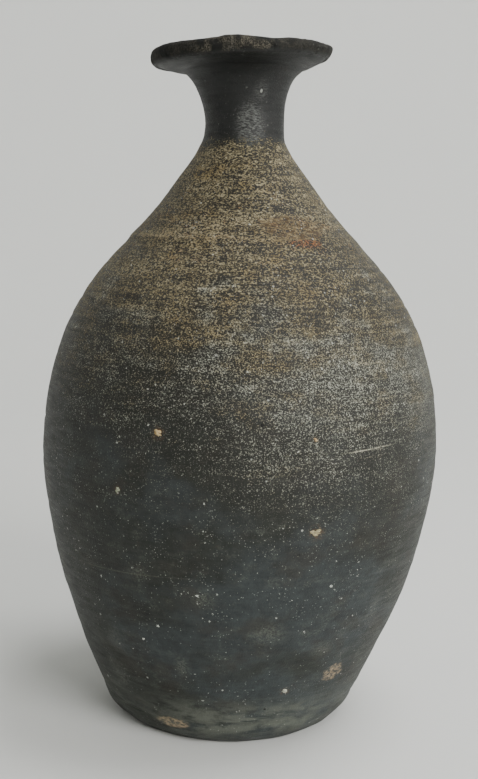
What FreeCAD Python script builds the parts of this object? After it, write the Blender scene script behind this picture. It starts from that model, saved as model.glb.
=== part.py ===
"""A large unglazed stoneware sake bottle, built the way a potter builds it.

The bottle is thrown and coiled in sections, which are luted together with V-shaped joints while
the clay is leather-hard: a flat foot slab, a lower and an upper wall, a conical shoulder, a short
neck and a flared lip that sags a little to one side.  A coil of clay is pinched into the corner
between slab and wall.  A few stone grains of the coarse clay show in the wall.

Units are millimetres, +Z is up, and the origin is the centre of the foot's underside.
The front of the bottle looks towards -Y.
"""
import FreeCAD
import Part
import math
import os

from FreeCAD import Vector

# ---- driving dimensions -------------------------------------------------------------------
OVERALL_HEIGHT = 303.0        # foot to rim, before the lip sags: one shaku
BELLY_RADIUS = 90.9           # widest point, outside
BELLY_HEIGHT = 123.0
FOOT_REST_RADIUS = 52.0       # flat underside that the bottle stands on
THROAT_RADIUS = 11.5          # straight bore that a stopper fits
LIP_RADIUS = 40.3
LIP_TILT = 3.6                # degrees, the lip's left side (-X) hangs lower

# wall thickness at the seams
FOOT_THICKNESS = 11.0
LOWER_WALL_THICKNESS = 9.0
BELLY_THICKNESS = 6.5
SHOULDER_THICKNESS = 6.0
RIM_THICKNESS = 6.0

# seams: (outside radius, height) and, for the two wall seams, the wall's lean from vertical
FOOT_SEAM = (60.4, FOOT_THICKNESS)
FOOT_SEAM_LEAN = 26.0
BELLY_SEAM = (BELLY_RADIUS - 0.6, BELLY_HEIGHT + 14.0)
BELLY_SEAM_LEAN = -4.5
SHOULDER_SEAM = (51.6, OVERALL_HEIGHT - 84.0)
SHOULDER_LEAN_BELOW = -43.0
SHOULDER_LEAN_ABOVE = -41.5
NECK_SEAM = (18.9, OVERALL_HEIGHT - 41.0)
NECK_SEAM_LEAN = -21.0
LIP_SEAM = (18.3, OVERALL_HEIGHT - 26.0)
LIP_SEAM_LEAN = 9.0

# points that the outside passes through between the seams: (radius, height)
FOOT_EDGE = (FOOT_REST_RADIUS + 4.6, 4.2)
LOWER_WALL_POINTS = [(67.8, 28.0), (76.5, 50.0), (85.0, 80.0), (BELLY_RADIUS, BELLY_HEIGHT)]
UPPER_WALL_POINTS = [(86.5, 160.0), (75.9, 188.0), (62.6, 207.0)]
SHOULDER_POINTS = [(40.7, 231.0), (30.2, 245.0)]
NECK_WAIST = (17.9, OVERALL_HEIGHT - 32.0)

# the shoulder's inside narrows through here to the foot of the bore: (radius, height)
SHOULDER_INSIDE = (26.0, OVERALL_HEIGHT - 67.0)
BORE_FOOT_WIDENS = (3.0, 4.0)  # outwards and down, the slope into the bore

# the lip upright, before it leans: (radius, height)
FLARE_POINTS = [(20.8, OVERALL_HEIGHT - 17.6), (24.1, OVERALL_HEIGHT - 12.4)]
FLARE_CORNER = (27.5, OVERALL_HEIGHT - 9.5)
FLARE_CORNER_LEAN = 50.0
FLANGE_UNDERSIDE = (32.5, OVERALL_HEIGHT - 8.2)
RIM_ROOT = (LIP_RADIUS - 2.2, OVERALL_HEIGHT - RIM_THICKNESS + 0.3)
RIM_LOWER_EDGE = (LIP_RADIUS - 1.6, OVERALL_HEIGHT - RIM_THICKNESS - 0.2)
RIM_OUTERMOST = (LIP_RADIUS, OVERALL_HEIGHT - 3.0)
RIM_CREST = (LIP_RADIUS - 2.2, OVERALL_HEIGHT)
DISH_EDGE = (LIP_RADIUS - 4.0, OVERALL_HEIGHT - 0.8)
DISH_POINTS = [
    (27.0, OVERALL_HEIGHT - 4.4),
    (17.2, OVERALL_HEIGHT - 12.4),
    (13.0, OVERALL_HEIGHT - 21.0),
]

TONGUE_DEPTH = 2.2            # of the V that each upper section stands on
TONGUE_SHARE = 0.5            # of the wall's thickness that the V takes
BORE_DEPTH = 23.0             # straight bore below the lip seam
LIP_THROAT_ROUND = 0.5        # the lip's throat starts this much wider than the bore

FOOT_COIL_WIDTH = 10.0        # how far the pinched coil runs over the slab
FOOT_COIL_HEIGHT = 13.0       # and up the wall
FOOT_COIL_HOLLOW = 1.2        # how far its face is pressed in

# stone grains: (degrees round from the front towards +X, height, half width, half height)
STONES = [
    (-21.3, 143.7, 2.2, 1.8),
    (20.6, 105.6, 2.7, 1.6),
    (-32.8, 118.7, 1.2, 1.5),
    (19.4, 143.2, 1.0, 1.0),
    (20.3, 30.1, 1.7, 1.2),
]
STONE_DEPTH = 1.7             # half thickness of a grain, into the wall
STONE_PROUD = 0.55            # how far a grain stands out of the wall
STONE_GAP = 0.08              # shrinkage gap round each grain

NECK_SPARE = 4.0              # the neck is made this much too tall, then cut to the leaning seam
OFFSET_SAMPLES = 9            # points on an inside curve
FULL_TURN = 360.0


def point(pair):
    """A (radius, height) pair as a point in the half plane y = 0."""
    return Vector(pair[0], 0, pair[1])


def along(lean):
    """Unit vector up a wall that leans outwards by this many degrees."""
    angle = math.radians(lean)
    return Vector(math.sin(angle), 0, math.cos(angle))


def inwards(tangent):
    """Unit normal of a wall, towards its inside."""
    return Vector(-tangent.z, 0, tangent.x).normalize()


def smooth_curve(points, lean_start, lean_end):
    """B-spline through the points with the wall's lean given at both ends."""
    curve = Part.BSplineCurve()
    curve.interpolate(Points=points, InitialTangent=along(lean_start), FinalTangent=along(lean_end))
    return curve


def inside_of(curve, thickness_start, thickness_end):
    """Points on the inside of a wall whose thickness changes evenly along its outside curve."""
    first, last = curve.FirstParameter, curve.LastParameter
    found = []
    for step in range(OFFSET_SAMPLES):
        share = step / (OFFSET_SAMPLES - 1)
        at = first + share * (last - first)
        thickness = thickness_start + share * (thickness_end - thickness_start)
        found.append(curve.value(at) + inwards(curve.tangent(at)[0]) * thickness)
    return found


def seam_line(outer, inner, down):
    """The joint between two sections: a straight bed with a V in its middle, outside to inside."""
    across = inner - outer
    start = outer + across * (0.5 - TONGUE_SHARE / 2)
    tip = outer + across * 0.5 + down * TONGUE_DEPTH
    end = outer + across * (0.5 + TONGUE_SHARE / 2)
    return [outer, start, tip, end, inner]


def straight_edges(points):
    return [Part.LineSegment(a, b).toShape() for a, b in zip(points, points[1:])]


def turned(edges):
    """The solid that a closed outline makes when it turns about the Z axis."""
    wire = Part.Wire(Part.__sortEdges__(edges))
    return Part.Face(wire).revolve(Vector(0, 0, 0), Vector(0, 0, 1), FULL_TURN)


def curve_through(points):
    curve = Part.BSplineCurve()
    curve.interpolate(Points=points)
    return curve


def arc_edge(start, middle, end):
    return Part.Arc(start, middle, end).toShape()


# ---- the seams ----------------------------------------------------------------------------
def foot_seam():
    outer = point(FOOT_SEAM)
    width = LOWER_WALL_THICKNESS / math.cos(math.radians(FOOT_SEAM_LEAN))
    return seam_line(outer, outer - Vector(width, 0, 0), Vector(0, 0, -1))


def wall_seam(seam, lean, thickness):
    outer = point(seam)
    inner = outer + inwards(along(lean)) * thickness
    return seam_line(outer, inner, along(lean) * -1)


def belly_seam():
    return wall_seam(BELLY_SEAM, BELLY_SEAM_LEAN, BELLY_THICKNESS)


def shoulder_seam():
    return wall_seam(SHOULDER_SEAM, SHOULDER_LEAN_BELOW, SHOULDER_THICKNESS)


def neck_seam():
    outer = point(NECK_SEAM)
    return seam_line(outer, Vector(THROAT_RADIUS, 0, outer.z), Vector(0, 0, -1))


# ---- the outside curves -------------------------------------------------------------------
def lower_wall_outside():
    middle = [point(p) for p in LOWER_WALL_POINTS]
    points = [point(FOOT_SEAM), *middle, point(BELLY_SEAM)]
    return smooth_curve(points, FOOT_SEAM_LEAN, BELLY_SEAM_LEAN)


def upper_wall_outside():
    middle = [point(p) for p in UPPER_WALL_POINTS]
    points = [point(BELLY_SEAM), *middle, point(SHOULDER_SEAM)]
    return smooth_curve(points, BELLY_SEAM_LEAN, SHOULDER_LEAN_BELOW)


def shoulder_outside():
    middle = [point(p) for p in SHOULDER_POINTS]
    points = [point(SHOULDER_SEAM), *middle, point(NECK_SEAM)]
    return smooth_curve(points, SHOULDER_LEAN_ABOVE, NECK_SEAM_LEAN)


# ---- the sections -------------------------------------------------------------------------
def make_foot_slab():
    """Flat disc with a rounded, slightly undercut edge."""
    seam = foot_seam()
    centre = Vector(0, 0, 0)
    rest_edge = Vector(FOOT_REST_RADIUS, 0, 0)
    top_centre = Vector(0, 0, FOOT_THICKNESS)
    outline = straight_edges([top_centre, centre, rest_edge])
    outline.append(arc_edge(rest_edge, point(FOOT_EDGE), seam[0]))
    outline += straight_edges([*seam, top_centre])
    return turned(outline)


def lower_wall_inside():
    inside = inside_of(lower_wall_outside(), LOWER_WALL_THICKNESS, BELLY_THICKNESS)
    return curve_through([foot_seam()[-1], *inside[1:-1], belly_seam()[-1]])


def make_lower_wall():
    """Coiled and thrown wall from the foot slab to the belly seam."""
    outline = [lower_wall_outside().toShape(), lower_wall_inside().toShape()]
    outline += straight_edges(foot_seam()) + straight_edges(belly_seam())
    return turned(outline)


def make_upper_wall():
    """Thrown wall from the belly seam, closing in to the shoulder seam."""
    outside = upper_wall_outside()
    inside = inside_of(outside, BELLY_THICKNESS, SHOULDER_THICKNESS)
    inside = curve_through([belly_seam()[-1], *inside[1:-1], shoulder_seam()[-1]])
    outline = [outside.toShape(), inside.toShape()]
    outline += straight_edges(belly_seam()) + straight_edges(shoulder_seam())
    return turned(outline)


def make_shoulder():
    """Conical shoulder, thick at its top where it was collared in round the bore."""
    bottom, top = shoulder_seam(), neck_seam()
    bore_foot = Vector(THROAT_RADIUS, 0, LIP_SEAM[1] - BORE_DEPTH)
    outwards, down = BORE_FOOT_WIDENS
    cone_end = bore_foot + Vector(outwards, 0, -down)
    outline = [shoulder_outside().toShape()]
    outline.append(curve_through([bottom[-1], point(SHOULDER_INSIDE), cone_end]).toShape())
    outline += straight_edges([cone_end, bore_foot, top[-1]])
    outline += straight_edges(bottom) + straight_edges(top)
    return turned(outline)


def tilted(shape):
    """Turns a shape made upright on the lip seam, so that its left side hangs lower."""
    leaning = shape.copy()
    leaning.rotate(Vector(0, 0, LIP_SEAM[1]), Vector(0, 1, 0), -LIP_TILT)
    return leaning


def make_lip():
    """Flared mouth: a trumpet under a broad flange, whose rim stands a little proud below."""
    throat = Vector(THROAT_RADIUS + LIP_THROAT_ROUND, 0, LIP_SEAM[1])
    seam = seam_line(point(LIP_SEAM), throat, Vector(0, 0, -1))
    corner, rim_root, rim_crest = point(FLARE_CORNER), point(RIM_ROOT), point(RIM_CREST)
    trumpet = [seam[0], *(point(p) for p in FLARE_POINTS), corner]
    dish = [point(DISH_EDGE), *(point(p) for p in DISH_POINTS), throat]
    outline = [smooth_curve(trumpet, LIP_SEAM_LEAN, FLARE_CORNER_LEAN).toShape()]
    outline.append(curve_through([corner, point(FLANGE_UNDERSIDE), rim_root]).toShape())
    outline += straight_edges([rim_root, point(RIM_LOWER_EDGE)])
    outline.append(arc_edge(point(RIM_LOWER_EDGE), point(RIM_OUTERMOST), rim_crest))
    outline += straight_edges([rim_crest, dish[0]]) + straight_edges(seam)
    outline.append(curve_through(dish).toShape())
    return tilted(turned(outline))


def make_neck(lip):
    """Short collar with the straight bore, its top bevelled to take the leaning lip."""
    bottom, seam = neck_seam(), point(LIP_SEAM)
    outside = smooth_curve([bottom[0], point(NECK_WAIST), seam], NECK_SEAM_LEAN, LIP_SEAM_LEAN)
    rise = along(LIP_SEAM_LEAN) * (NECK_SPARE / along(LIP_SEAM_LEAN).z)
    bore_top = Vector(THROAT_RADIUS, 0, seam.z + NECK_SPARE)
    outline = [outside.toShape()]
    outline += straight_edges([seam, seam + rise, bore_top, bottom[-1]]) + straight_edges(bottom)
    above = Part.makeCylinder(2 * LIP_RADIUS, 2 * LIP_RADIUS, Vector(0, 0, seam.z))
    return turned(outline).cut(tilted(above)).cut(lip)


def radius_at(curve, height):
    """Radius of a wall's face at a height, by halving its curve's range."""
    low, high = curve.FirstParameter, curve.LastParameter
    for _ in range(40):
        middle = (low + high) / 2
        if curve.value(middle).z < height:
            low = middle
        else:
            high = middle
    return curve.value(low).x


def make_foot_coil(lower_wall):
    """Coil pinched into the inside corner between the slab and the wall, with a hollow face."""
    corner = foot_seam()[-1]
    top = corner.z + FOOT_COIL_HEIGHT
    over_slab = corner - Vector(FOOT_COIL_WIDTH, 0, 0)
    up_wall = Vector(radius_at(lower_wall_inside(), top), 0, top)
    hollow = (over_slab + up_wall) * 0.5 + Vector(FOOT_COIL_HOLLOW, 0, -FOOT_COIL_HOLLOW)
    behind = Vector(up_wall.x, 0, corner.z)
    outline = [arc_edge(over_slab, hollow, up_wall)]
    outline += straight_edges([up_wall, behind, over_slab])
    return turned(outline).cut(lower_wall)


def make_stone(stone, grow):
    """One pebble in the wall's face: an ellipsoid with its thin way towards the bottle's axis."""
    round_deg, height, half_width, half_height = stone
    outside = lower_wall_outside() if height < BELLY_SEAM[1] else upper_wall_outside()
    scale = FreeCAD.Matrix()
    scale.scale(half_width + grow, STONE_DEPTH + grow, half_height + grow)
    pebble = Part.makeSphere(1.0).transformGeometry(scale)
    reach = radius_at(outside, height) - STONE_DEPTH + STONE_PROUD
    pebble.translate(Vector(0, -reach, height))
    pebble.rotate(Vector(0, 0, 0), Vector(0, 0, 1), round_deg)
    return pebble


def make_stone_grains():
    return Part.makeCompound([make_stone(stone, 0.0) for stone in STONES])


def with_stone_pockets(wall, low, high):
    """Cuts a pocket for each grain whose height lies on this wall."""
    for stone in STONES:
        if low < stone[1] < high:
            wall = wall.cut(make_stone(stone, STONE_GAP))
    return wall


def build():
    lip = make_lip()
    plain_lower_wall = make_lower_wall()
    return {
        "foot_slab": make_foot_slab(),
        "foot_coil": make_foot_coil(plain_lower_wall),
        "lower_wall": with_stone_pockets(plain_lower_wall, 0.0, BELLY_SEAM[1]),
        "upper_wall": with_stone_pockets(make_upper_wall(), BELLY_SEAM[1], OVERALL_HEIGHT),
        "shoulder_cone": make_shoulder(),
        "neck_collar": make_neck(lip),
        "lip_flange": lip,
        "stone_grains": make_stone_grains(),
    }


def main():
    os.makedirs("parts", exist_ok=True)
    for name, shape in build().items():
        shape.exportStep(f"parts/{name}.step")
        solids = shape.Solids
        print(name, "solids", len(solids), "valid", shape.isValid(), "volume", round(shape.Volume))


main()
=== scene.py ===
"""Looks of a large unglazed stoneware sake bottle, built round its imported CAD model.

Every section of the bottle is a skin turned from the CAD section's own outline and then shaped by
hand: one field of throwing rings, lumps, dents and sag moves all the sections alike, so that they
still meet at their joints.  Ash, streaks, specks, stains and wear are procedural materials.
Lengths are metres; the front looks towards -Y, and azimuths turn from the front towards +X.
"""
import itertools
import math

import bmesh
import bpy
import numpy as np
from mathutils import Matrix, Vector


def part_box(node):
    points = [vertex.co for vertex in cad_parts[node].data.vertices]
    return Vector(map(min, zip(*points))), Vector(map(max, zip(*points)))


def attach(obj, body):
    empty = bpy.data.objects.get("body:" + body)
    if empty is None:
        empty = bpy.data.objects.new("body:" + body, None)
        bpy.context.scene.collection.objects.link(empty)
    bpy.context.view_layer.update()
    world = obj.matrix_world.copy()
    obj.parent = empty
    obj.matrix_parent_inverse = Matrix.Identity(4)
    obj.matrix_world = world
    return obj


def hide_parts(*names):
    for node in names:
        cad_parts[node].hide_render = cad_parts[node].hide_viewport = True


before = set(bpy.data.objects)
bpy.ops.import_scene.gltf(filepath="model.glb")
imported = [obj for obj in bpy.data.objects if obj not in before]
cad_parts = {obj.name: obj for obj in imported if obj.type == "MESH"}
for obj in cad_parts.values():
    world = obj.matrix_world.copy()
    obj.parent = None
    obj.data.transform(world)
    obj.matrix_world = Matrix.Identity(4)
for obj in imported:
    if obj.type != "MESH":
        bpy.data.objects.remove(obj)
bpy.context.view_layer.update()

MM = 0.001
SEED = 7

# ---- places taken from the CAD model --------------------------------------------------------
FOOT_SEAM_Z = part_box("foot_slab")[1].z
BELLY_SEAM_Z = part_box("lower_wall")[1].z
SHOULDER_SEAM_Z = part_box("upper_wall")[1].z
NECK_ROOT_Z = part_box("shoulder_cone")[1].z
LIP_TILT = math.radians(3.6)
NECK_TOP_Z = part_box("neck_collar")[1].z
LIP_SEAM_RADIUS = 18.3 * MM
LIP_SEAM_Z = NECK_TOP_Z - LIP_SEAM_RADIUS * math.tan(LIP_TILT)

# ---- mesh density ---------------------------------------------------------------------------
CORNER = math.radians(36)
SIMPLE = 0.06 * MM            # how far a simplified outline may leave the CAD outline
SECTION_AZIMUTH = math.pi     # the back, clear of the stone grains and of the lip's lean
SEAM_FACE = 4.5 * MM          # a joint's faces are shorter than this
SHARP = math.radians(38)      # edges sharper than this are shaded as edges


# ==== noise and easing =======================================================================
LATTICE = np.random.default_rng(SEED).uniform(-1, 1, 8192)
LATTICE_STRIDES = np.array((73856093, 19349663, 83492791))


def noise_at(points, size):
    """Smooth noise from -1 to 1, with lumps of about this size; size may differ along x, y, z."""
    grid = points / np.asarray(size)
    cell = np.floor(grid).astype(np.int64)
    ease = grid - cell
    ease = ease * ease * (3 - 2 * ease)
    total = np.zeros(len(points))
    for corner in itertools.product((0, 1), repeat=3):
        key = np.bitwise_xor.reduce((cell + corner) * LATTICE_STRIDES, axis=1) % len(LATTICE)
        total += LATTICE[key] * np.prod(np.where(corner, ease, 1 - ease), axis=1)
    return total


def ramp(value, low, high):
    """0 below low, 1 above high, eased between."""
    share = np.clip((value - low) / (high - low), 0, 1)
    return share * share * (3 - 2 * share)


def bell(value, middle, width):
    return np.exp(-(((value - middle) / width) ** 2))


def turn_from(azimuth, degrees):
    """Signed angle from a direction, in radians, the short way round."""
    return (azimuth - math.radians(degrees) + math.pi) % (2 * math.pi) - math.pi


# ==== outlines ===============================================================================
def section_path(node, azimuth):
    """The node's section in the half plane at an azimuth: (radius, height) points in order."""
    out = Vector((math.sin(azimuth), -math.cos(azimuth), 0))
    across = Vector((math.cos(azimuth), math.sin(azimuth), 0))
    mesh = bmesh.new()
    mesh.from_mesh(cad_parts[node].data)
    bmesh.ops.remove_doubles(mesh, verts=mesh.verts, dist=1e-6)
    everything = mesh.verts[:] + mesh.edges[:] + mesh.faces[:]
    cut = bmesh.ops.bisect_plane(mesh, geom=everything, plane_co=(0, 0, 0), plane_no=across)
    links = {}
    for edge in cut["geom_cut"]:
        if isinstance(edge, bmesh.types.BMEdge) and sum(v.co.dot(out) for v in edge.verts) > 0:
            first, second = edge.verts
            links.setdefault(first, []).append(second)
            links.setdefault(second, []).append(first)
    ends = [v for v, near in links.items() if len(near) == 1]
    path = [min(ends or links, key=lambda v: v.co.z)]
    seen = set(path)
    while True:
        onward = [v for v in links[path[-1]] if v not in seen]
        if not onward:
            break
        path.append(onward[0])
        seen.add(onward[0])
    points = np.array([(max(v.co.dot(out), 0.0), v.co.z) for v in path])
    mesh.free()
    return points if ends else np.vstack([points, points[:1]])


def simplified(points, tolerance):
    """Douglas-Peucker: only the points that the path needs to stay within the tolerance."""
    chord = points[-1] - points[0]
    away = points - points[0]
    length = math.hypot(*chord)
    if length < 1e-9:
        distance = np.hypot(away[:, 0], away[:, 1])
    else:
        distance = np.abs(away[:, 0] * chord[1] - away[:, 1] * chord[0]) / length
    worst = int(distance.argmax())
    if len(points) < 3 or distance[worst] < tolerance:
        return points[[0, -1]]
    first = simplified(points[: worst + 1], tolerance)
    return np.vstack([first[:-1], simplified(points[worst:], tolerance)])


def travelled(points):
    steps = np.hypot(*np.diff(points, axis=0).T)
    return np.concatenate([[0.0], np.cumsum(steps)])


def evenly(points, spacing):
    """The same path as even straight steps of about this length."""
    length = travelled(points)
    at = np.linspace(0, length[-1], max(1, round(length[-1] / spacing)) + 1)
    return np.column_stack([np.interp(at, length, points[:, axis]) for axis in (0, 1)])


def smoothly(points, spacing):
    """A smooth cubic curve through the points, in even steps of about this length."""
    if len(points) == 2:
        return evenly(points, spacing)
    knots = travelled(points)
    slopes = np.gradient(points, knots, axis=0)
    at = np.linspace(0, knots[-1], max(1, round(knots[-1] / spacing)) + 1)
    left = np.clip(np.searchsorted(knots, at, "right") - 1, 0, len(knots) - 2)
    span = (knots[left + 1] - knots[left])[:, None]
    t = (at - knots[left])[:, None] / span
    start, end = points[left], points[left + 1]
    blend = t * t * (3 - 2 * t)
    return (start + (end - start) * blend + span * t * (1 - t) ** 2 * slopes[left]
            - span * t * t * (1 - t) * slopes[left + 1])


def runs_of(path):
    """The path's stretches between its corners, on the raw points."""
    simple = simplified(path, SIMPLE)
    headings = np.arctan2(*np.diff(simple, axis=0).T)
    turns = np.abs((np.diff(headings) + math.pi) % (2 * math.pi) - math.pi)
    corners = [simple[0], *simple[1:-1][turns > CORNER], simple[-1]]
    marks = [0]
    for corner in corners[1:-1]:
        ahead = np.hypot(*(path[marks[-1] + 1:] - corner).T)
        marks.append(marks[-1] + 1 + int(ahead.argmin()))
    marks.append(len(path) - 1)
    return [path[a:b + 1] for a, b in zip(marks, marks[1:])]


def outline_of(node, station, fine, coarse):
    """The CAD section's outline: fine steps outside, coarse steps inside, and sharp corners."""
    path = section_path(node, SECTION_AZIMUTH)
    middle = path[:, 0].mean()
    rows = []
    for run in runs_of(path):
        length = travelled(run)[-1]
        step = fine if run[:, 0].mean() > middle or coarse is None else coarse
        if length < SEAM_FACE:
            stretch = run[[0, -1]]
        else:
            stretch = smoothly(evenly(run, station), step)
        rows.extend(stretch[:-1])
    rows.append(path[-1])
    return np.array(rows)


# ==== the hand of the potter =================================================================
BOW_FOOT = -1.4 * MM
BOW_BELLY = 1.5 * MM
BOW_NECK = -0.5 * MM
BOW_BELLY_Z = 150 * MM

# turned lines: (height, depth, width); negative depths are grooves, positive are ridges
TURNED_LINES = [
    (SHOULDER_SEAM_Z + 1.0 * MM, 0.55 * MM, 2.4 * MM),
    (SHOULDER_SEAM_Z - 3.5 * MM, -0.30 * MM, 1.8 * MM),
    (NECK_ROOT_Z - 1.5 * MM, -0.25 * MM, 1.5 * MM),
    (206.5 * MM, -0.22 * MM, 1.0 * MM),
    (191.0 * MM, -0.30 * MM, 0.9 * MM),
    (182.5 * MM, -0.24 * MM, 1.0 * MM),
    (165.0 * MM, -0.15 * MM, 1.2 * MM),
    (BELLY_SEAM_Z, -0.22 * MM, 1.0 * MM),
    (BELLY_SEAM_Z + 2.0 * MM, 0.15 * MM, 1.6 * MM),
    (84.0 * MM, 0.16 * MM, 0.8 * MM),
    (FOOT_SEAM_Z + 1.2 * MM, -0.28 * MM, 1.6 * MM),
]
# dents and chips: (azimuth in degrees, height, half size, depth)
DENTS = [
    (80, 36 * MM, 13 * MM, 1.0 * MM),
    (-24, 10 * MM, 5 * MM, 0.5 * MM),
    (39, 35 * MM, 5 * MM, 0.30 * MM),
    (-140, 70 * MM, 16 * MM, 0.6 * MM),
    (152, 148 * MM, 20 * MM, 0.6 * MM),
    (205, 24 * MM, 8 * MM, 0.7 * MM),
    (120, 60 * MM, 9 * MM, 0.35 * MM),
    (-75, 52 * MM, 10 * MM, 0.35 * MM),
]


# the rim: the heights between which its underside turns into its top, and its crease's radius
RIM_LOW_Z = 298 * MM
RIM_HIGH_Z = 303 * MM
CREASE_RADIUS = 37.6 * MM
# the rim's highs and lows: (azimuth in degrees, rise, half width in radians)
RIM_RISES = [(55, -1.4 * MM, 0.75), (20, -0.7 * MM, 0.14), (-6, 0.7 * MM, 0.16), (-60, 0.4 * MM, 0.6)]


def stone_places():
    """Centre and half size of every stone grain of the CAD model."""
    mesh = bmesh.new()
    mesh.from_mesh(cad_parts["stone_grains"].data)
    bmesh.ops.remove_doubles(mesh, verts=mesh.verts, dist=1e-6)
    waiting, places = set(mesh.verts), []
    while waiting:
        group, edge = set(), [min(waiting, key=lambda v: tuple(v.co))]
        while edge:
            vert = edge.pop()
            if vert not in group:
                group.add(vert)
                edge.extend(e.other_vert(vert) for e in vert.link_edges)
        waiting -= group
        spread = np.array([tuple(v.co) for v in group])
        low, high = spread.min(axis=0), spread.max(axis=0)
        places.append(((low + high) / 2, (high - low) / 2))
    mesh.free()
    return sorted(places, key=lambda place: tuple(place[0]))


STONES = stone_places()
STONE_RISE = 0.20 * MM


def bow(height):
    """Sideways sweep of the bottle's axis: the belly leans towards +X of foot and lip."""
    below = BOW_BELLY - (BOW_BELLY - BOW_FOOT) * ((BOW_BELLY_Z - height) / BOW_BELLY_Z) ** 2
    rest = (height - BOW_BELLY_Z) / (NECK_ROOT_Z - BOW_BELLY_Z)
    above = BOW_BELLY - (BOW_BELLY - BOW_NECK) * np.clip(rest, 0, 1) ** 2
    return np.where(height < BOW_BELLY_Z, below, above)


def shoulder_scar(points, azimuth, height):
    """The ledge of the shoulder's joint, plain at the left, torn and lumpy right of the front."""
    left = bell(turn_from(azimuth, -25), 0, 0.85)
    ledge = 0.40 * MM * left * bell(height, SHOULDER_SEAM_Z + 0.6 * MM, 1.0 * MM)
    torn = bell(turn_from(azimuth, 27), 0, 0.30) * bell(height, SHOULDER_SEAM_Z + 5.5 * MM, 5.5 * MM)
    lumps = noise_at(points + 11, (3.6 * MM, 3.6 * MM, 1.7 * MM)) + 0.5 * noise_at(points + 12, 1.3 * MM)
    return ledge + 0.50 * MM * torn * lumps


def radial_shape(points, azimuth, height):
    """How far the clay stands out from the ideal turned shape."""
    drift = height + 0.5 * MM * np.sin(azimuth + 0.7) + 0.3 * MM * np.sin(2 * azimuth + 2.1)
    turning = np.column_stack([points[:, 0] * 0.03, points[:, 1] * 0.03, drift])
    out = 0.07 * MM * noise_at(turning, 1.5 * MM)
    out += 0.13 * MM * noise_at(turning + 5, 3.6 * MM)
    out += 0.22 * MM * noise_at(turning + 9, 11 * MM)
    strength = 0.75 + 0.5 * noise_at(points + 3, 40 * MM)
    for middle, depth, width in TURNED_LINES:
        out += depth * strength * bell(drift, middle, width)
    out += 0.22 * MM * noise_at(points + 1, 42 * MM)
    out += 0.10 * MM * noise_at(points + 2, 15 * MM)
    out += 0.04 * MM * noise_at(points + 4, 4 * MM)
    out += 0.6 * MM * np.sin(2 * azimuth) * ramp(height, 0.0, 60 * MM)
    out += shoulder_scar(points, azimuth, height)
    out += 0.70 * MM * noise_at(points + 13, (9 * MM, 9 * MM, 7 * MM)) * (1 - ramp(height, 3 * MM, 13 * MM))
    radius = np.hypot(points[:, 0], points[:, 1])
    for turn, middle, size, depth in DENTS:
        side = turn_from(azimuth, turn) * radius
        out -= depth * bell(side, 0, size) * bell(height, middle, size)
    for centre, half in STONES:
        away = np.linalg.norm((points - centre) / (half[0] * 1.5, half[0] * 1.5, half[2] * 1.5), axis=1)
        out -= 0.35 * MM * np.exp(-((away / 1.1) ** 4))
    return out


def lip_warp(points, azimuth, radius, height):
    """Up and down shape of the flange: uneven rim, underside fuller at the right, lumpy edge."""
    outer = ramp(radius, 26 * MM, 37 * MM) * ramp(height, NECK_ROOT_Z + 22 * MM, NECK_ROOT_Z + 32 * MM)
    top = ramp(height, RIM_LOW_Z, RIM_HIGH_Z)
    warp = 0.25 * MM * top
    for turn, rise, width in RIM_RISES:
        warp = warp + rise * bell(turn_from(azimuth, turn), 0, width) * top
    warp += -0.6 * MM * bell(turn_from(azimuth, 15), 0, 0.7) * (1 - top)
    rough = 0.30 * MM * noise_at(points + 6, 9 * MM) + 0.14 * MM * noise_at(points + 7, 3 * MM)
    warp += rough * (0.3 + 0.7 * top)
    flare = ramp(height, NECK_ROOT_Z + 18 * MM, NECK_ROOT_Z + 26 * MM)
    corner = bell(radius, 27 * MM, 5 * MM) * flare * (1 - top)
    rings = np.column_stack([points[:, 0] * 0.03, points[:, 1] * 0.03, radius])
    turned = 0.10 * MM * noise_at(rings, 1.6 * MM) + 0.16 * MM * noise_at(rings + 3, 5 * MM)
    turned = turned * ramp(height, NECK_ROOT_Z + 18 * MM, NECK_ROOT_Z + 28 * MM)
    return outer * warp + turned - 0.85 * MM * np.sin(azimuth) * corner


def rim_wear(points, azimuth, radius, height):
    """How far the rim's edge stands out: blunter at the left, worn back at the right, chipped."""
    rim = ramp(radius, 35 * MM, 38.5 * MM) * ramp(height, RIM_LOW_Z - 6 * MM, RIM_LOW_Z - 2 * MM)
    under = 1 - ramp(height, RIM_LOW_Z, RIM_LOW_Z + 4 * MM)
    out = 0.8 * MM * bell(turn_from(azimuth, -90), 0, 0.7)
    out -= 0.9 * MM * bell(turn_from(azimuth, 85), 0, 0.6) * under
    out += 0.10 * MM * noise_at(points + 8, 1.1 * MM)
    out -= 0.45 * MM * ramp(noise_at(points + 10, 2.6 * MM), 0.25, 0.75)
    return rim * out


def shaped(radius, azimuth, height):
    """Ideal turned coordinates to the finished clay's places."""
    points = np.column_stack([radius * np.sin(azimuth), -radius * np.cos(azimuth), height])
    outward = radial_shape(points, azimuth, height) + rim_wear(points, azimuth, radius, height)
    grown = radius + outward * ramp(radius, 0, 12 * MM) * ramp(height, -1 * MM, 2 * MM)
    lifted = height + lip_warp(points, azimuth, radius, height)
    x, y = grown * np.sin(azimuth), -grown * np.cos(azimuth)
    lean = LIP_TILT * ramp(height, NECK_ROOT_Z - 2 * MM, LIP_SEAM_Z - 1 * MM)
    rise = lifted - LIP_SEAM_Z
    leaning_x = x * np.cos(lean) - rise * np.sin(lean)
    leaning_z = LIP_SEAM_Z + rise * np.cos(lean) + x * np.sin(lean)
    return np.column_stack([leaning_x + bow(height), y, leaning_z])


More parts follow.
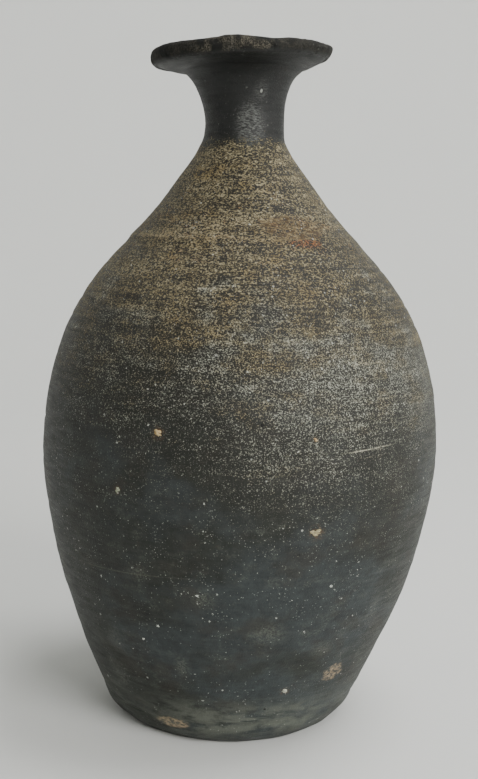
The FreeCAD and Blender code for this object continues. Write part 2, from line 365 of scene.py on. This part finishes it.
def stone_seat(centre):
    """Where a stone grain of the CAD model sits in the shaped wall."""
    radius, azimuth = math.hypot(centre[0], centre[1]), math.atan2(centre[0], -centre[1])
    seat = shaped(np.array([radius]), np.array([azimuth]), centre[2:])[0]
    return seat + STONE_RISE * np.array((math.sin(azimuth), -math.cos(azimuth), 0))


def turned_skin(name, rows, closed, columns):
    """Turns an outline round the axis and shapes it by hand."""
    azimuth = np.linspace(0, 2 * math.pi, columns, endpoint=False)
    on_axis = rows[:, 0] < 1e-6
    ring_rows = rows[~on_axis]
    count = len(ring_rows)
    radius = np.repeat(ring_rows[:, 0], columns)
    height = np.repeat(ring_rows[:, 1], columns)
    verts = [tuple(p) for p in shaped(radius, np.tile(azimuth, count), height)]
    faces = []
    for row in range(count if closed else count - 1):
        here, above = row * columns, (row + 1) % count * columns
        for column in range(columns):
            onward = (column + 1) % columns
            faces.append((here + column, here + onward, above + onward, above + column))
    for row, pole in ((0, rows[0]), (count - 1, rows[-1])):
        if not closed:
            verts.append(tuple(shaped(pole[:1] * 0, pole[:1] * 0, pole[1:])[0]))
            ring = [row * columns + column for column in range(columns)]
            for first, second in zip(ring, ring[1:] + ring[:1]):
                last = len(verts) - 1
                faces.append((first, last, second) if row == 0 else (first, second, last))
    mesh = bpy.data.meshes.new(name)
    mesh.from_pydata(verts, [], faces)
    mesh.update()
    solid = bmesh.new()
    solid.from_mesh(mesh)
    if solid.calc_volume(signed=True) < 0:
        bmesh.ops.reverse_faces(solid, faces=solid.faces)
    solid.to_mesh(mesh)
    solid.free()
    mesh.shade_smooth()
    mesh.set_sharp_from_angle(angle=SHARP)
    piece = bpy.data.objects.new(name, mesh)
    bpy.context.scene.collection.objects.link(piece)
    return piece


# ==== materials ==============================================================================
class Graph:
    """A material's node tree, with one short call for each kind of node."""

    def __init__(self, name):
        self.material = bpy.data.materials.new(name)
        self.material.use_nodes = True
        self.tree = self.material.node_tree
        self.shader = next(n for n in self.tree.nodes if n.type == "BSDF_PRINCIPLED")
        self.place = self.add("ShaderNodeTexCoord").outputs["Object"]
        split = self.add("ShaderNodeSeparateXYZ", Vector=self.place)
        self.x, self.y, self.z = split.outputs

    def add(self, kind, settings=(), **inputs):
        node = self.tree.nodes.new(kind)
        for setting, value in dict(settings).items():
            setattr(node, setting, value)
        for socket, value in inputs.items():
            self.feed(node.inputs[socket.replace("_", " ")], value)
        return node

    def feed(self, socket, value):
        if isinstance(value, bpy.types.NodeSocket):
            self.tree.links.new(value, socket)
        else:
            socket.default_value = value

    def math(self, operation, first, second=0.0, clamp=False):
        node = self.add("ShaderNodeMath", {"operation": operation, "use_clamp": clamp})
        self.feed(node.inputs[0], first)
        self.feed(node.inputs[1], second)
        return node.outputs[0]

    def times(self, *values):
        total = values[0]
        for value in values[1:]:
            total = self.math("MULTIPLY", total, value)
        return total

    def plus(self, *values):
        total = values[0]
        for value in values[1:]:
            total = self.math("ADD", total, value)
        return total

    def most(self, *values):
        total = values[0]
        for value in values[1:]:
            total = self.math("MAXIMUM", total, value)
        return total

    def less(self, first, second):
        return self.math("SUBTRACT", first, second)

    def apart(self, first, second):
        return self.math("ABSOLUTE", self.less(first, second))

    def step(self, value, low, high, start=0.0, end=1.0):
        """start below low, end above high, eased between."""
        node = self.add("ShaderNodeMapRange", {"interpolation_type": "SMOOTHSTEP", "clamp": True})
        for socket, given in zip(node.inputs, (value, low, high, start, end)):
            self.feed(socket, given)
        return node.outputs[0]

    def mix(self, share, first, second, blend="MIX"):
        node = self.add("ShaderNodeMix", {"data_type": "RGBA", "blend_type": blend})
        self.feed(node.inputs["Factor"], share)
        self.feed(node.inputs[6], first)
        self.feed(node.inputs[7], second)
        return node.outputs[2]

    def stretched(self, x, y, z):
        """The object's place in lumps of this size along each axis."""
        node = self.add("ShaderNodeVectorMath", {"operation": "MULTIPLY"})
        self.feed(node.inputs[0], self.place)
        node.inputs[1].default_value = (1 / x, 1 / y, 1 / z)
        return node.outputs[0]

    def along(self, x, y):
        """How far the place lies in a level direction."""
        node = self.add("ShaderNodeVectorMath", {"operation": "DOT_PRODUCT"})
        self.feed(node.inputs[0], self.place)
        node.inputs[1].default_value = (x, y, 0)
        return node.outputs["Value"]

    def moved(self, vector, shift):
        node = self.add("ShaderNodeVectorMath", {"operation": "ADD"})
        self.feed(node.inputs[0], vector)
        self.feed(node.inputs[1], shift)
        return node.outputs[0]

    def noise(self, size, detail=2.0, roughness=0.5, seed=0.0, distortion=0.0):
        """Fractal noise from 0 to 1; size is one length, or three for streaks."""
        sizes = size if isinstance(size, tuple) else (size, size, size)
        vector = self.moved(self.stretched(*sizes), (seed, seed * 1.7, seed * 2.3))
        node = self.add("ShaderNodeTexNoise", Vector=vector, Scale=1.0, Detail=detail,
                        Roughness=roughness, Distortion=distortion)
        return node.outputs["Fac"]

    def cells(self, size, seed=0.0):
        """Distance to the nearest scattered point, in units of size, and that point's colour."""
        vector = self.moved(self.stretched(size, size, size), (seed, seed * 1.3, seed * 2.1))
        node = self.add("ShaderNodeTexVoronoi", Vector=vector, Scale=1.0)
        return node.outputs["Distance"], node.outputs["Color"]

    def specks(self, size, share, radius, seed=0.0):
        """Ragged specks: share of the scattered points that show, radius in units of size."""
        distance, colour = self.cells(size, seed)
        ragged = self.less(self.noise(0.7 * size * radius, 2, seed=seed), 0.5)
        ragged = self.times(ragged, 3.4 * radius)
        distance = self.plus(distance, ragged)
        pick = self.add("ShaderNodeSeparateColor", Color=colour)
        shown = self.math("LESS_THAN", pick.outputs[0], share)
        reach = self.times(self.plus(0.45, self.times(pick.outputs[1], 0.55)), radius)
        body = self.step(self.math("DIVIDE", distance, reach), 0.75, 1.05, 1.0, 0.0)
        return self.times(body, shown)


CLAY_OLIVE = (0.0125, 0.0145, 0.0115, 1)
CLAY_SLATE = (0.0215, 0.0265, 0.0268, 1)
CLAY_BROWN = (0.0195, 0.0170, 0.0125, 1)
CLAY_NECK = (0.0085, 0.0090, 0.0085, 1)
ASH_GAP = (0.0095, 0.0080, 0.0055, 1)
ASH_TAN = (0.135, 0.112, 0.064, 1)
ASH_GREY = (0.150, 0.150, 0.122, 1)
ASH_PALE = (0.270, 0.240, 0.160, 1)
ASH_WHITE = (0.300, 0.305, 0.260, 1)
ASH_YELLOW = (0.200, 0.140, 0.055, 1)
LEDGE_TAN = (0.235, 0.180, 0.095, 1)
TORN_TAN = (0.165, 0.120, 0.062, 1)
SCORCH = (0.045, 0.028, 0.014, 1)
RUST = (0.200, 0.088, 0.038, 1)
STAIN = (0.090, 0.052, 0.025, 1)
SCRATCH = (0.46, 0.44, 0.34, 1)
CRUMB = (0.175, 0.155, 0.115, 1)
DUST = (0.088, 0.095, 0.078, 1)
# pale dust on the neck, partly a painted highlight
BLOOM_AND_HIGHLIGHT = (0.150, 0.155, 0.145, 1)
SPECK = (0.58, 0.59, 0.53, 1)
OCHRE = (0.33, 0.25, 0.155, 1)
# near black: the pits, and painted shade in the rim's crease and on its band
PIT_AND_SHADE_BLACK = (0.006, 0.006, 0.005, 1)

CLAY_IOR = 1.5
CLAY_SHINE = 0.28
ASH_SHINE = 0.18
ASH_ROUGHNESS = 0.85


def upright(g):
    """Height on the lip as if the lip stood straight."""
    return g.less(g.z, g.times(g.x, math.sin(LIP_TILT)))


def around(g):
    """Radius, and sine and cosine of the azimuth: 1 at the right and at the back."""
    radius = g.math("SQRT", g.plus(g.times(g.x, g.x), g.times(g.y, g.y)))
    radius = g.most(radius, MM)
    return radius, g.math("DIVIDE", g.x, radius), g.math("DIVIDE", g.y, radius)


def near(g, azimuth, height, wide, tall):
    """1 at a place on the wall, falling to 0 at this half width and half height."""
    turn = math.radians(azimuth)
    side = g.along(math.cos(turn), math.sin(turn))
    front = g.along(math.sin(turn), -math.cos(turn))
    side = g.times(side, 1 / wide)
    rise = g.times(g.less(g.z, height), 1 / tall)
    length = g.math("SQRT", g.plus(g.times(side, side), g.times(rise, rise)))
    return g.times(g.step(length, 0.0, 1.0, 1.0, 0.0), g.step(front, 0.0, 5 * MM))


def centred(g, size, reach, **settings):
    """Noise that swings evenly either way by up to about this reach."""
    return g.times(g.less(g.noise(size, **settings), 0.5), 2 * reach)


def clay_colour(g, streaks):
    """Olive black to slate, in slow clouds and in faint lines of turning; darker on the neck."""
    clouds = g.noise((46 * MM, 46 * MM, 30 * MM), 5, 0.6, seed=4.0)
    front = near(g, 14, 55 * MM, 75 * MM, 90 * MM)
    slate = g.step(g.plus(clouds, g.times(front, 0.24)), 0.48, 0.68)
    colour = g.mix(slate, CLAY_OLIVE, CLAY_SLATE)
    brown = g.noise((20 * MM, 20 * MM, 14 * MM), 4, 0.65, seed=8.0)
    colour = g.mix(g.times(g.step(brown, 0.50, 0.66), 0.5), colour, CLAY_BROWN)
    colour = g.mix(g.step(g.z, NECK_ROOT_Z - 2 * MM, NECK_ROOT_Z + 4 * MM), colour, CLAY_NECK)
    blotches = g.noise((12 * MM, 12 * MM, 8 * MM), 5, 0.65, seed=14.0)
    mottle = g.noise(3.0 * MM, 5, 0.7, seed=12.0)
    shade = g.plus(g.step(streaks, 0.3, 0.7, 0.94, 1.05), g.step(blotches, 0.3, 0.7, -0.15, 0.20),
                   g.step(mottle, 0.3, 0.7, -0.20, 0.24), g.step(g.z, 20 * MM, 80 * MM, 0.22, 0.0))
    grey = g.add("ShaderNodeCombineColor", Red=shade, Green=shade, Blue=shade).outputs[0]
    return g.mix(1.0, colour, grey, "MULTIPLY")


def ash_density(g, sine):
    """How thickly the ash lies: full on the shoulder, gone below the belly, none on the neck."""
    right = g.most(g.math("MINIMUM", g.plus(sine, 0.12), 0.5), -0.62)
    # painted shade: less ash towards the lit right edge, so that edge shows darker
    right = g.plus(right, g.step(sine, 0.6, 1.0, 0.0, -0.35))
    level = g.plus(g.z, g.times(right, 33 * MM), centred(g, 34 * MM, 22 * MM, detail=3, seed=2.0),
                   centred(g, (50 * MM, 50 * MM, 3 * MM), 9 * MM, detail=2, seed=22.0))
    fall = g.step(level, 80 * MM, 196 * MM)
    ragged = g.plus(g.z, centred(g, 4 * MM, 5 * MM, detail=3))
    return g.times(fall, g.step(ragged, NECK_ROOT_Z - 4 * MM, NECK_ROOT_Z + 5 * MM, 1.0, 0.0))


def ash_grains(g, density, sine, ledge, torn):
    """Cover of the melted ash grains, and how far inside a grain a place lies."""
    small = g.noise((0.58 * MM, 0.58 * MM, 0.48 * MM), 2, 0.6, seed=3.0, distortion=0.4)
    large = g.noise((0.95 * MM, 0.95 * MM, 0.64 * MM), 3, 0.65, seed=5.0, distortion=0.4)
    high = g.step(g.z, 160 * MM, 215 * MM, 0.0, 0.85)
    field = g.plus(small, g.times(high, g.less(large, small)))
    clumps = g.plus(centred(g, 5 * MM, 0.07, detail=3, seed=23.0),
                    centred(g, (30 * MM, 30 * MM, 1.5 * MM), 0.08, detail=2, seed=24.0))
    # painted light and shade: ash thinned on the lit right and thickened on the shaded left, between 160
    # and 225 mm
    turned = g.times(sine, high, g.step(g.z, 205 * MM, 225 * MM, -0.032, 0.0))
    thick = g.plus(g.times(density, 0.205), g.times(ledge, 0.055), g.times(torn, 0.03),
                   g.step(g.z, 222 * MM, 245 * MM, 0.0, 0.016))
    inside = g.plus(field, clumps, thick, turned, -0.716)
    cover = g.times(g.step(inside, -0.02, 0.03), g.step(density, 0.0, 0.04))
    return cover, inside


def ridge_ledge(g, sine):
    """Where ash gathers on the ledge of the shoulder's joint, in broken stretches."""
    height = g.plus(g.z, centred(g, 10 * MM, 2.2 * MM, detail=3, seed=37.0))
    away = g.apart(height, SHOULDER_SEAM_Z + 1.2 * MM)
    line = g.step(away, 0.2 * MM, 2.0 * MM, 1.0, 0.0)
    above = g.step(near(g, -25, SHOULDER_SEAM_Z + 5 * MM, 36 * MM, 7 * MM), 0.0, 0.8, 0.0, 0.5)
    line = g.most(line, g.times(above, g.step(g.z, SHOULDER_SEAM_Z, SHOULDER_SEAM_Z + 1 * MM)))
    broken = g.step(g.noise(6 * MM, 4, 0.6, seed=38.0), 0.34, 0.60)
    return g.times(line, broken, g.step(sine, 0.0, 0.5, 0.8, 0.25))


def torn_clay(g):
    """Torn and rubbed clay above the joint, right of the front, and the dark strokes across it."""
    patch = near(g, 29, SHOULDER_SEAM_Z + 5.5 * MM, 27 * MM, 10 * MM)
    patch = g.step(g.plus(patch, centred(g, 6 * MM, 0.7, detail=4, seed=39.0)), 0.15, 0.75)
    strokes = g.step(g.noise((3.4 * MM, 3.4 * MM, 0.9 * MM), 5, 0.7, seed=41.0), 0.47, 0.56)
    return patch, g.times(patch, strokes)


def ash_colour(g, inside, ledge, torn):
    """Tan on the shoulder, whiter with brown patches on the belly, rusty by the shoulder's ridge."""
    warm = g.noise((17 * MM, 17 * MM, 9 * MM), 4, 0.6, seed=11.0)
    tan = g.step(g.plus(g.z, g.times(g.less(warm, 0.5), 190 * MM)), 145 * MM, 200 * MM)
    colour = g.mix(tan, ASH_GREY, ASH_TAN)
    colour = g.mix(g.step(inside, 0.03, 0.15), colour, g.mix(tan, ASH_WHITE, ASH_PALE))
    high = g.step(g.z, 165 * MM, 215 * MM, 0.25, 1.0)
    colour = g.mix(g.times(g.step(warm, 0.52, 0.70), high, 0.5), colour, ASH_YELLOW)
    colour = g.mix(g.times(ledge, 0.6), colour, LEDGE_TAN)
    colour = g.mix(g.times(torn, 0.7), colour, TORN_TAN)
    ridge = g.step(g.apart(g.z, SHOULDER_SEAM_Z + 6 * MM), 0.0, 24 * MM, 1.0, 0.0)
    stained = g.step(g.noise((6 * MM, 6 * MM, 3 * MM), 3, 0.6, seed=31.0), 0.60, 0.70)
    rusty = g.times(stained, ridge, 0.5)
    patch = near(g, 31, SHOULDER_SEAM_Z - 0.4 * MM, 11 * MM, 2.4 * MM)
    patch = g.times(g.step(patch, 0.0, 0.35), g.step(g.noise(1.6 * MM, 3, seed=5.0), 0.36, 0.52))
    return g.mix(g.most(rusty, patch), colour, RUST)


def pale_specks(g):
    """Feldspar specks of three sizes, in loose clusters, thicker on the belly, few on the neck."""
    dense = g.step(g.noise(13 * MM, 4, seed=33.0), 0.42, 0.64, 0.15, 1.7)
    fine = g.specks(1.1 * MM, g.times(dense, g.step(g.z, 40 * MM, 125 * MM, 0.22, 0.65)), 0.22, seed=2.0)
    medium = g.specks(3.0 * MM, g.times(dense, g.step(g.z, 20 * MM, 120 * MM, 0.22, 0.34)), 0.145, seed=6.0)
    large = g.times(g.specks(8 * MM, g.times(dense, 0.30), 0.085, seed=7.0), 0.95)
    below_neck = g.step(g.z, NECK_ROOT_Z - 30 * MM, NECK_ROOT_Z, 1.0, 0.2)
    found = g.most(g.times(fine, 0.34), g.times(medium, 0.55))
    large = g.times(large, g.step(g.z, 150 * MM, 175 * MM, 1.0, 0.0))
    found = g.times(g.most(found, large), below_neck)
    on_neck = g.step(near(g, 20, 283 * MM, 0.8 * MM, 1.2 * MM), 0.0, 0.6)
    return g.most(found, g.times(on_neck, 0.35))


# dry scuffs: azimuth, height, half width, half height, strength
SCUFFS = [
    (11, 60 * MM, 12 * MM, 8 * MM, 0.8),
    (-8, 76 * MM, 8 * MM, 7 * MM, 0.7),
    (-42, 48 * MM, 9 * MM, 9 * MM, 0.7),
    (-45, 27 * MM, 8 * MM, 10 * MM, 0.9),
    (-27, 84 * MM, 9 * MM, 6 * MM, 0.6),
    (-16, 42 * MM, 5 * MM, 8 * MM, 0.9),
    (30, 50 * MM, 8 * MM, 6 * MM, 0.6),
    (48, 66 * MM, 6 * MM, 9 * MM, 0.6),
    (150, 55 * MM, 14 * MM, 9 * MM, 0.7),
    (-120, 40 * MM, 12 * MM, 12 * MM, 0.7),
]


def dusty_marks(g):
    """Dust in the hollow above the foot, and dry scuffs over the lower wall."""
    middle = near(g, 6, 12 * MM, 48 * MM, 40 * MM)
    band = g.times(g.step(g.z, 1 * MM, 11 * MM, 0.35, 1.0), g.step(g.z, 14 * MM, 30 * MM, 1.0, 0.0))
    cloudy = g.noise((11 * MM, 11 * MM, 4.5 * MM), 5, 0.7, seed=13.0)
    band = g.times(band, g.step(cloudy, 0.34, 0.62), g.step(middle, 0.0, 0.5, 0.45, 1.0))
    wisp = near(g, 6, 14.5 * MM, 18 * MM, 2.6 * MM)
    strands = g.step(g.noise((9 * MM, 9 * MM, 1.1 * MM), 5, 0.7, seed=40.0), 0.38, 0.54)
    wisp = g.times(g.step(wisp, 0.0, 0.6), strands)
    grain = g.step(g.noise((1.0 * MM, 1.0 * MM, 0.8 * MM), 4, 0.75, seed=27.0), 0.40, 0.62)
    clouds = g.step(g.noise((9 * MM, 9 * MM, 6 * MM), 5, 0.65, seed=28.0), 0.50, 0.70)
    clouds = g.times(clouds, 0.45, g.step(g.z, 100 * MM, 160 * MM, 1.0, 0.0))
    for turn, height, wide, tall, strength in SCUFFS:
        clouds = g.most(clouds, g.times(near(g, turn, height, wide, tall), strength))
    return g.most(band, wisp, g.times(clouds, grain))


def neck_dust_and_highlight(g):
    """Pale dust that clings to the turning lines on the neck's front, partly a painted highlight."""
    lines = g.step(g.noise((1.5 * MM, 1.5 * MM, 0.38 * MM), 3, 0.75, seed=29.0), 0.42, 0.64)
    low = g.step(near(g, 8, 268 * MM, 10 * MM, 17 * MM), 0.0, 0.8)
    high = g.step(near(g, 20, 283 * MM, 6 * MM, 8 * MM), 0.0, 0.9, 0.0, 0.45)
    return g.times(g.most(low, high), lines, 0.62)


def rim_crust_and_shade(g):
    """The rim's dry rough edge, whose band is also painted darker as shade."""
    return g.step(upright(g), RIM_LOW_Z - 1.5 * MM, RIM_LOW_Z + 0.5 * MM)


def rim_crumbs(g):
    """Pale brown crumbs of ash on the rim, thickest at the front."""
    front = g.step(near(g, -4, 300 * MM, 26 * MM, 30 * MM), 0.0, 0.5, 0.25, 1.0)
    patches = g.step(g.noise(6 * MM, 3, seed=34.0), 0.36, 0.56)
    return g.times(g.step(g.noise(0.5 * MM, 4, 0.8, seed=35.0), 0.46, 0.62), patches, front, 0.75)


def rim_shadow(g, radius):
    """The dark crease under the rim: a painted shadow."""
    crease = g.step(g.apart(radius, CREASE_RADIUS), 0.3 * MM, 1.0 * MM, 1.0, 0.0)
    above = g.step(upright(g), RIM_LOW_Z - 6 * MM, RIM_LOW_Z - 4 * MM)
    return g.times(crease, above, g.step(upright(g), RIM_LOW_Z, RIM_LOW_Z + 1 * MM, 0.8, 0.0))


def from_stone(g, centre):
    """Distance from where a stone grain sits in the shaped wall."""
    away = g.add("ShaderNodeVectorMath", {"operation": "DISTANCE"})
    g.feed(away.inputs[0], g.place)
    away.inputs[1].default_value = tuple(stone_seat(centre))
    return away.outputs["Value"]


def stone_halo(g):
    """Brown stain in the clay round each stone grain."""
    found = 0.0
    for centre, half in STONES:
        reach = float(max(half[0], half[2]))
        found = g.plus(found, g.step(from_stone(g, centre), 0.9 * reach, 1.9 * reach, 0.5, 0.0))
    return g.times(found, g.step(g.noise(1.2 * MM, 3, seed=36.0), 0.40, 0.62))


def ochre_chips(g):
    """Rubbed places by the foot where the clay shows its ochre inside."""
    right = near(g, 39, 35 * MM, 8 * MM, 6.5 * MM)
    left = near(g, -24, 9.5 * MM, 11 * MM, 4 * MM)
    strokes = g.step(g.noise((2.0 * MM, 2.0 * MM, 1.0 * MM), 5, 0.75, seed=15.0), 0.40, 0.62)
    places = g.plus(g.most(right, left), centred(g, 4 * MM, 0.3, detail=3, seed=42.0))
    return g.times(g.step(places, 0.12, 0.5), strokes, 0.85)


# height, the sines of the azimuths where the line starts and ends, and how pale it is
TOOL_LINES = [(86 * MM, -0.98, -0.15, 0.07), (134.4 * MM, 0.44, 0.74, 0.75)]


def tool_lines(g, sine, cosine):
    """Broken pale lines where a tool and a joint marked the turning clay."""
    found = 0.0
    broken = g.step(g.noise(4 * MM, 4, 0.7, seed=17.0), 0.34, 0.60)
    front = g.step(cosine, -0.2, 0.2, 1.0, 0.0)
    for height, left, right, strength in TOOL_LINES:
        away = g.apart(g.z, g.plus(height, g.times(sine, 6 * MM)))
        line = g.step(away, 0.0, 0.45 * MM, 1.0, 0.0)
        span = g.times(g.step(sine, left, left + 0.1), g.step(sine, right - 0.1, right, 1.0, 0.0))
        found = g.plus(found, g.times(line, span, front, broken, strength))
    return found


def stoneware(name):
    """Dark fired clay under natural ash: all of it follows from the place on the bottle."""
    g = Graph(name)
    radius, sine, cosine = around(g)
    streaks = g.noise((26 * MM, 26 * MM, 0.9 * MM), 3, 0.6, seed=1.0)
    density = ash_density(g, sine)
    ledge = ridge_ledge(g, sine)
    torn, strokes = torn_clay(g)
    grains, inside = ash_grains(g, density, sine, ledge, torn)
    pale = pale_specks(g)
    pits = g.most(g.specks(13 * MM, 0.45, 0.05, seed=9.0),
                  g.step(near(g, 6.4, 149.3 * MM, 1.1 * MM, 1.0 * MM), 0.1, 0.4))
    crust_and_shade = rim_crust_and_shade(g)

    ash = ash_colour(g, inside, ledge, torn)
    colour = clay_colour(g, streaks)
    colour = g.mix(g.times(density, 0.8), colour, ASH_GAP)
    colour = g.mix(dusty_marks(g), colour, DUST)
    # pale dust on the neck's front, partly a painted highlight
    colour = g.mix(neck_dust_and_highlight(g), colour, BLOOM_AND_HIGHLIGHT)
    # painted shadow in the crease under the rim
    colour = g.mix(rim_shadow(g, radius), colour, PIT_AND_SHADE_BLACK)
    # painted shade: the rim's band darkened halfway to near black
    colour = g.mix(g.times(crust_and_shade, 0.5), colour, PIT_AND_SHADE_BLACK)
    colour = g.mix(g.times(crust_and_shade, rim_crumbs(g)), colour, CRUMB)
    colour = g.mix(grains, colour, ash)
    colour = g.mix(g.times(strokes, 0.8), colour, SCORCH)
    colour = g.mix(stone_halo(g), colour, STAIN)
    colour = g.mix(pale, colour, SPECK)
    colour = g.mix(pits, colour, PIT_AND_SHADE_BLACK)
    colour = g.mix(ochre_chips(g), colour, OCHRE)
    colour = g.mix(tool_lines(g, sine, cosine), colour, SCRATCH)
    g.feed(g.shader.inputs["Base Color"], colour)

    # sheen of bare clay against matt ash
    gloss = g.noise((14 * MM, 14 * MM, 1.6 * MM), 4, 0.65, seed=19.0)
    rough = g.step(gloss, 0.3, 0.7, 0.49, 0.63)
    dry = g.most(grains, crust_and_shade)
    rough = g.plus(g.times(rough, g.less(1.0, dry)), g.times(dry, ASH_ROUGHNESS))
    g.feed(g.shader.inputs["Roughness"], rough)
    g.shader.inputs["IOR"].default_value = CLAY_IOR
    shine = g.plus(CLAY_SHINE, g.times(dry, ASH_SHINE - CLAY_SHINE))
    g.feed(g.shader.inputs["Specular IOR Level"], shine)

    # relief, in millimetres
    grit = g.less(g.noise(0.8 * MM, 3, 0.7, seed=21.0), 0.5)
    relief = g.plus(g.times(grains, 0.10), g.times(streaks, 0.06), g.times(grit, 0.24), g.times(pale, 0.08),
                    g.times(pits, -0.4))
    bump = g.add("ShaderNodeBump", Height=relief, Distance=MM, Strength=1.0)
    g.feed(g.shader.inputs["Normal"], bump.outputs[0])
    return g.material


# for each stone grain, from the left: its dark and its light colour
STONE_TINTS = [
    ((0.15, 0.16, 0.11, 1), (0.28, 0.30, 0.22, 1)),
    ((0.26, 0.17, 0.07, 1), (0.42, 0.33, 0.18, 1)),
    ((0.28, 0.28, 0.22, 1), (0.50, 0.50, 0.42, 1)),
    ((0.27, 0.15, 0.06, 1), (0.46, 0.35, 0.20, 1)),
    ((0.20, 0.17, 0.09, 1), (0.36, 0.32, 0.20, 1)),
]


def stone_material():
    g = Graph("stone_grain")
    mottle = g.step(g.noise(1.0 * MM, 4, 0.65, seed=1.0), 0.36, 0.58)
    dark, light = STONE_TINTS[0]
    for (centre, _), (other_dark, other_light) in zip(STONES[1:], STONE_TINTS[1:]):
        here = g.math("LESS_THAN", from_stone(g, centre), 6 * MM)
        dark, light = g.mix(here, dark, other_dark), g.mix(here, light, other_light)
    g.feed(g.shader.inputs["Base Color"], g.mix(mottle, dark, light))
    g.shader.inputs["Roughness"].default_value = ASH_ROUGHNESS
    g.shader.inputs["Specular IOR Level"].default_value = 0.2
    grit = g.noise(0.5 * MM, 4, 0.6, seed=2.0)
    bump = g.add("ShaderNodeBump", Height=grit, Distance=0.25 * MM, Strength=1.0)
    g.feed(g.shader.inputs["Normal"], bump.outputs[0])
    return g.material


MATERIALS = {name: stoneware(name) for name in ("stoneware_dark", "stoneware_ash")}
MATERIALS["stone_grain"] = stone_material()


def finish_piece(piece, node, slot):
    piece.data.materials.clear()
    piece.data.materials.append(MATERIALS[slot])
    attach(piece, "root")
    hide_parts(node)


# ==== the pieces =============================================================================
SECTIONS = [
    # node, material slot, columns, spacing of the curve's stations, fine step, coarse step inside
    ("foot_slab", "stoneware_dark", 576, 2.5 * MM, 0.9 * MM, None),
    ("foot_coil", "stoneware_dark", 288, 3 * MM, 1.2 * MM, None),
    ("lower_wall", "stoneware_dark", 432, 8 * MM, 0.8 * MM, 4 * MM),
    ("upper_wall", "stoneware_ash", 576, 8 * MM, 0.7 * MM, 4 * MM),
    ("shoulder_cone", "stoneware_ash", 576, 6 * MM, 0.6 * MM, 3 * MM),
    ("neck_collar", "stoneware_dark", 432, 3 * MM, 0.5 * MM, None),
    ("lip_flange", "stoneware_dark", 540, 1.5 * MM, 0.45 * MM, None),
]
for node, slot, columns, station, fine, coarse in SECTIONS:
    rows = outline_of(node, station, fine, coarse)
    closed = rows[:, 0].min() > 1e-6
    skin = turned_skin(node + "_skin", rows[:-1] if closed else rows, closed, columns)
    finish_piece(skin, node, slot)


def stone_grains():
    """Rough pebbles in the wall's face, each as large as its CAD grain."""
    mesh = bmesh.new()
    for number, (centre, half) in enumerate(STONES):
        pebble = bmesh.ops.create_icosphere(mesh, subdivisions=4, radius=1.0)["verts"]
        unit = np.array([tuple(v.co) for v in pebble])
        lumpy = 0.90 + 0.42 * noise_at(unit + 3 * number, 0.75) + 0.26 * noise_at(unit + 3 * number, 0.3)
        for vert, place in zip(pebble, unit * lumpy[:, None] * half + stone_seat(centre)):
            vert.co = place
    data = bpy.data.meshes.new("stone_grains_skin")
    mesh.to_mesh(data)
    mesh.free()
    data.shade_smooth()
    piece = bpy.data.objects.new("stone_grains_skin", data)
    bpy.context.scene.collection.objects.link(piece)
    return piece


finish_piece(stone_grains(), "stone_grains", "stone_grain")


# ==== stage, light and camera ================================================================
def plain(name, colour, roughness):
    g = Graph(name)
    tone = g.noise(0.4, 2)
    pale = tuple(c * 1.03 for c in colour[:3]) + (1,)
    g.feed(g.shader.inputs["Base Color"], g.mix(tone, colour, pale))
    g.shader.inputs["Roughness"].default_value = roughness
    return g.material


def stage():
    """A pale floor that sweeps up all round into a wall, with no horizon."""
    bend = np.linspace(0, math.pi / 2, 13)
    flat, sweep, top = 0.8, 1.2, 3.2
    profile = [(0.02, 0.0), *((flat + sweep * math.sin(t), sweep * (1 - math.cos(t))) for t in bend)]
    profile.append((flat + sweep, top))
    mesh = bmesh.new()
    spin = [mesh.verts.new((radius, 0, height)) for radius, height in profile]
    edges = [mesh.edges.new(pair) for pair in zip(spin, spin[1:])]
    bmesh.ops.spin(mesh, geom=spin + edges, axis=(0, 0, 1), cent=(0, 0, 0), steps=64, angle=2 * math.pi)
    bmesh.ops.remove_doubles(mesh, verts=mesh.verts, dist=1e-5)
    bmesh.ops.holes_fill(mesh, edges=mesh.edges, sides=64)
    data = bpy.data.meshes.new("floor")
    mesh.to_mesh(data)
    mesh.free()
    data.shade_smooth()
    data.materials.append(plain("floor_pale", (0.63, 0.635, 0.62, 1), 0.7))
    floor = bpy.data.objects.new("floor", data)
    floor.location.z = -0.2 * MM
    bpy.context.scene.collection.objects.link(floor)


def area_light(name, place, size, power, spread, colour, target):
    data = bpy.data.lights.new(name, "AREA")
    data.shape = "DISK"
    data.size = size
    data.energy = power
    data.spread = math.radians(spread)
    data.color = colour
    light = bpy.data.objects.new(name, data)
    light.location = place
    light.rotation_euler = (Vector(target) - Vector(place)).to_track_quat("-Z", "Y").to_euler()
    bpy.context.scene.collection.objects.link(light)


def world_light(colour, strength):
    world = bpy.data.worlds.new("studio")
    world.use_nodes = True
    background = world.node_tree.nodes["Background"]
    background.inputs["Color"].default_value = colour
    background.inputs["Strength"].default_value = strength
    bpy.context.scene.world = world


CAMERA_PLACE = (0.0006, -0.521, 0.2311)
CAMERA_PITCH = math.radians(8.93)
CAMERA_ROLL = math.radians(1.55)
LENS = 52.22


def camera():
    data = bpy.data.cameras.new("camera")
    data.lens = LENS
    data.sensor_width = 36
    data.clip_start = 0.01
    view = bpy.data.objects.new("camera", data)
    turn = Matrix.Rotation(math.pi / 2 - CAMERA_PITCH, 4, "X") @ Matrix.Rotation(CAMERA_ROLL, 4, "Z")
    view.matrix_world = Matrix.Translation(CAMERA_PLACE) @ turn
    bpy.context.scene.collection.objects.link(view)
    bpy.context.scene.camera = view


stage()
middle = (0, 0, 0.16)
area_light("key", (0.82, -1.12, 0.85), 0.9, 18, 150, (1.0, 0.99, 0.97), middle)
area_light("window", (1.5, -0.2, 0.45), 1.3, 3.2, 120, (0.98, 0.99, 1.0), middle)
area_light("wall_wash", (0.9, 0.2, 2.6), 1.6, 58, 180, (1.0, 1.0, 0.99), (0.6, 1.7, 0.4))
world_light((0.93, 0.95, 0.94, 1), 0.40)
camera()
